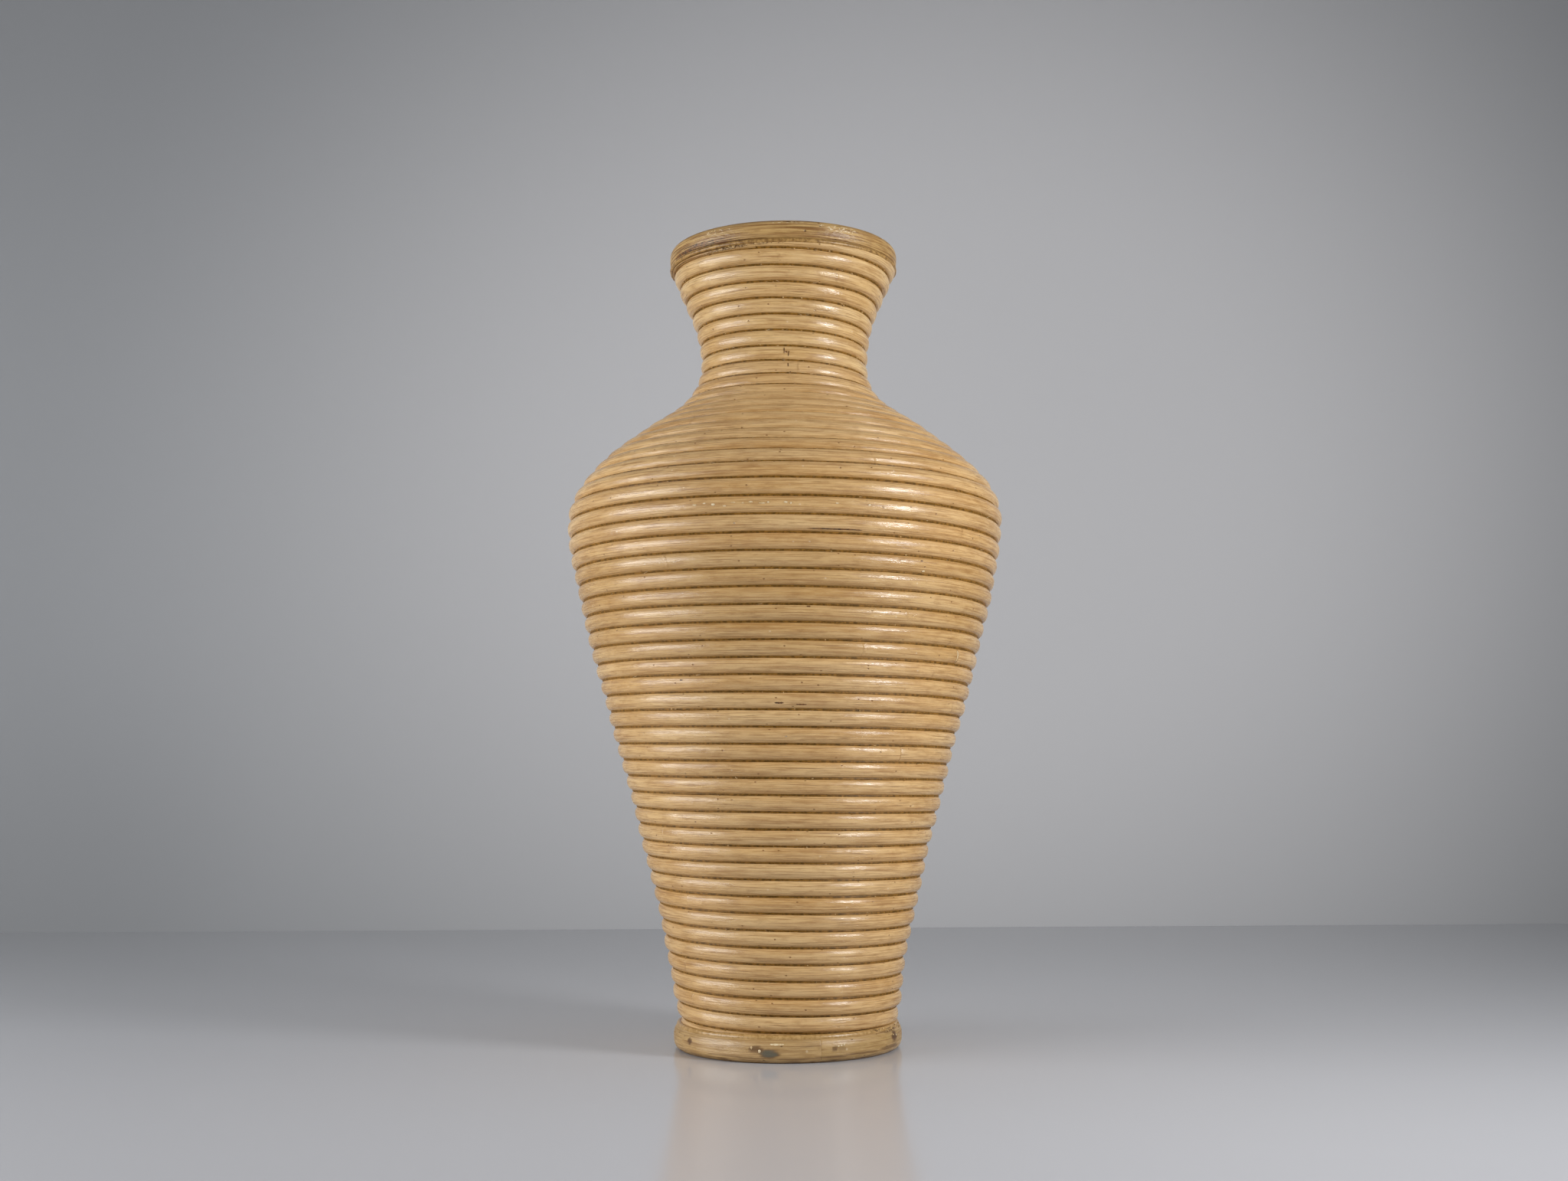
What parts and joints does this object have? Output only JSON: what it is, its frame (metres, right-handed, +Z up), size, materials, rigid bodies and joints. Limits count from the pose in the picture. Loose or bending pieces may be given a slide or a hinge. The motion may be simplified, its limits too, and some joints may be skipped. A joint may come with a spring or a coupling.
{
  "type": "floor vase",
  "caption": "Tall wicker floor vase wound from one spiral of rattan cane, with a round shoulder, a narrow neck, a flared mouth and a nailed foot ring.",
  "frame": {"origin": "centre of the foot on the floor", "axes": "+Z up along the vase's axis; the pictured front faces -Y and +X is to the right in the picture"},
  "size_m": [0.3231, 0.328, 0.6],
  "materials": {
    "wall_cane": "varnished peeled rattan, satin",
    "rim_cane": "varnished rattan, darker, satin",
    "foot_cane": "varnished rattan, worn at the edge, satin",
    "base_plywood": "sanded plywood, matt",
    "nail_steel": "dulled steel",
    "split_cane": "bare split rattan, matt"
  },
  "bodies": {
    "root": {"wall_cane_01": "wall_cane", "wall_cane_02": "wall_cane", "wall_cane_03": "wall_cane", "wall_cane_04": "wall_cane", "wall_cane_05": "wall_cane", "wall_cane_06": "wall_cane", "wall_cane_07": "wall_cane", "wall_cane_08": "wall_cane", "wall_cane_09": "wall_cane", "wall_cane_10": "wall_cane", "rim_ring": "rim_cane", "foot_ring": "foot_cane", "base_disc": "base_plywood", "foot_nail_1": "nail_steel", "foot_nail_2": "nail_steel", "foot_nail_3": "nail_steel", "foot_nail_4": "nail_steel", "foot_nail_5": "nail_steel", "foot_nail_6": "nail_steel", "foot_nail_7": "nail_steel", "foot_nail_8": "nail_steel", "foot_nail_9": "nail_steel", "inner_rib_1": "split_cane", "inner_rib_2": "split_cane", "inner_rib_3": "split_cane", "inner_rib_4": "split_cane", "inner_rib_5": "split_cane", "inner_rib_6": "split_cane"}
  },
  "joints": []
}
